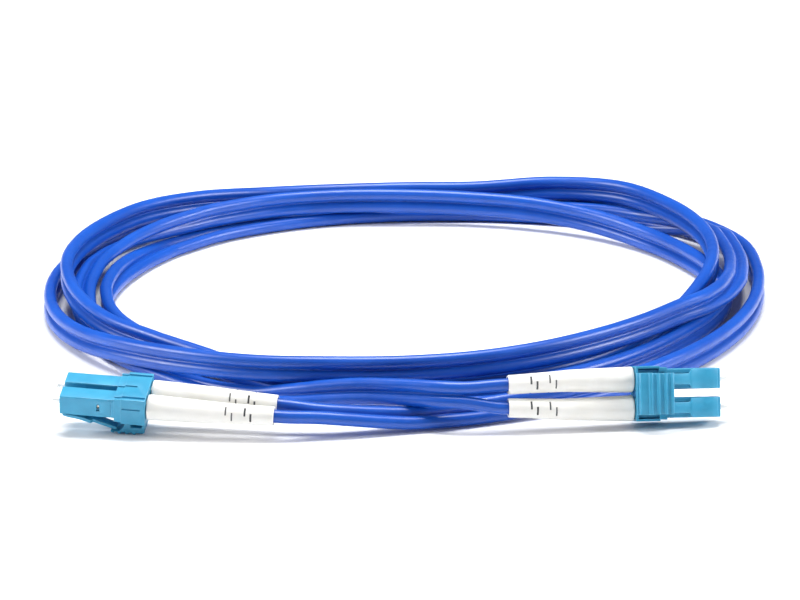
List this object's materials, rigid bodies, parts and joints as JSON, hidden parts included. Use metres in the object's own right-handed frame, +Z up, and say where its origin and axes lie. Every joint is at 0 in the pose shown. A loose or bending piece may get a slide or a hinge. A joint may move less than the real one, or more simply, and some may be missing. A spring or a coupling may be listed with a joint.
{
  "type": "fiber optic patch cord",
  "caption": "Coiled blue duplex fibre patch cord with white boots and aqua small form factor duplex plugs at both ends, each with a clip, trigger and bare ferrules.",
  "frame": {"origin": "middle of the footprint of the whole object, on the table surface it rests on", "axes": "+Z up from the table; -Y towards the two connectors, which lie at the front of the coil; +X to the viewer's right, where one connector points, the other points to -X"},
  "size_m": [0.169, 0.181, 0.0137],
  "materials": {
    "jacket": "smooth satin blue extruded cable jacket",
    "boot": "soft white flexible boot",
    "plug": "moulded aqua plastic, satin",
    "clip": "moulded aqua plastic, satin",
    "ceramic": "polished white zirconia",
    "flange": "nickel plated turned metal",
    "spring": "bright spring wire",
    "crimp": "plated crimp sleeve",
    "post": "turned metal back post",
    "buffer": "tight buffered fibre coating",
    "yarn": "aramid strength yarn"
  },
  "bodies": {
    "cord": {"cable_jacket": "jacket", "fibre_a": "buffer", "fibre_b": "buffer", "aramid_a": "yarn", "aramid_b": "yarn", "clip_body_a": "clip", "boot_a1": "boot", "crimp_sleeve_a1": "crimp", "rear_body_a1": "post", "plug_housing_a1": "plug", "ferrule_spring_a1": "spring", "boot_a2": "boot", "crimp_sleeve_a2": "crimp", "rear_body_a2": "post", "plug_housing_a2": "plug", "ferrule_spring_a2": "spring", "clip_body_b": "clip", "boot_b1": "boot", "crimp_sleeve_b1": "crimp", "rear_body_b1": "post", "plug_housing_b1": "plug", "ferrule_spring_b1": "spring", "boot_b2": "boot", "crimp_sleeve_b2": "crimp", "rear_body_b2": "post", "plug_housing_b2": "plug", "ferrule_spring_b2": "spring"},
    "trigger_a": {"clip_trigger_a": "clip"},
    "latch_a1": {"latch_arm_a1": "plug"},
    "ferrule_a1": {"ferrule_a1": "ceramic", "ferrule_flange_a1": "flange"},
    "latch_a2": {"latch_arm_a2": "plug"},
    "ferrule_a2": {"ferrule_a2": "ceramic", "ferrule_flange_a2": "flange"},
    "trigger_b": {"clip_trigger_b": "clip"},
    "latch_b1": {"latch_arm_b1": "plug"},
    "ferrule_b1": {"ferrule_b1": "ceramic", "ferrule_flange_b1": "flange"},
    "latch_b2": {"latch_arm_b2": "plug"},
    "ferrule_b2": {"ferrule_b2": "ceramic", "ferrule_flange_b2": "flange"}
  },
  "joints": [
    {"name": "trigger_a_press", "type": "hinge", "parent": "cord", "child": "trigger_a", "pos_m": [-0.05699, -0.08164, 0.00337], "axis": [0.1301, 0.9694, 0.2081], "range_deg": [0, 7], "stiffness_Nm_per_rad": 0.0004},
    {"name": "latch_a1_flex", "type": "hinge", "parent": "cord", "child": "latch_a1", "pos_m": [-0.07281, -0.07691, 0.00624], "axis": [-0.1301, -0.9694, -0.2081], "range_deg": [0, 4.6], "stiffness_Nm_per_rad": 0.0003},
    {"name": "ferrule_a1_slide", "type": "slide", "parent": "cord", "child": "ferrule_a1", "axis": [0.9913, -0.1232, -0.046], "range_m": [0, 0.0009], "stiffness_N_per_m": 100, "deforming": ["ferrule_spring_a1"]},
    {"name": "latch_a2_flex", "type": "hinge", "parent": "cord", "child": "latch_a2", "pos_m": [-0.07362, -0.08297, 0.00494], "axis": [-0.1301, -0.9694, -0.2081], "range_deg": [0, 4.6], "stiffness_Nm_per_rad": 0.0003},
    {"name": "ferrule_a2_slide", "type": "slide", "parent": "cord", "child": "ferrule_a2", "axis": [0.9913, -0.1232, -0.046], "range_m": [0, 0.0009], "stiffness_N_per_m": 100, "deforming": ["ferrule_spring_a2"]},
    {"name": "trigger_b_press", "type": "hinge", "parent": "cord", "child": "trigger_b", "pos_m": [0.05124, -0.08186, 0.00826], "axis": [-0.0173, 0.3004, 0.9537], "range_deg": [0, 7], "stiffness_Nm_per_rad": 0.0004},
    {"name": "latch_b1_flex", "type": "hinge", "parent": "cord", "child": "latch_b1", "pos_m": [0.06716, -0.07701, 0.0103], "axis": [0.0173, -0.3004, -0.9537], "range_deg": [0, 4.6], "stiffness_Nm_per_rad": 0.0003},
    {"name": "ferrule_b1_slide", "type": "slide", "parent": "cord", "child": "ferrule_b1", "axis": [-0.9879, -0.1522, 0.03], "range_m": [0, 0.0009], "stiffness_N_per_m": 100, "deforming": ["ferrule_spring_b1"]},
    {"name": "latch_b2_flex", "type": "hinge", "parent": "cord", "child": "latch_b2", "pos_m": [0.06727, -0.07889, 0.00434], "axis": [0.0173, -0.3004, -0.9537], "range_deg": [0, 4.6], "stiffness_Nm_per_rad": 0.0003},
    {"name": "ferrule_b2_slide", "type": "slide", "parent": "cord", "child": "ferrule_b2", "axis": [-0.9879, -0.1522, 0.03], "range_m": [0, 0.0009], "stiffness_N_per_m": 100, "deforming": ["ferrule_spring_b2"]}
  ],
  "couplings": [
    {"joint": "latch_a1_flex", "follows": "trigger_a_press", "ratio": 0.62},
    {"joint": "latch_a2_flex", "follows": "trigger_a_press", "ratio": 0.62},
    {"joint": "latch_b1_flex", "follows": "trigger_b_press", "ratio": 0.62},
    {"joint": "latch_b2_flex", "follows": "trigger_b_press", "ratio": 0.62}
  ]
}
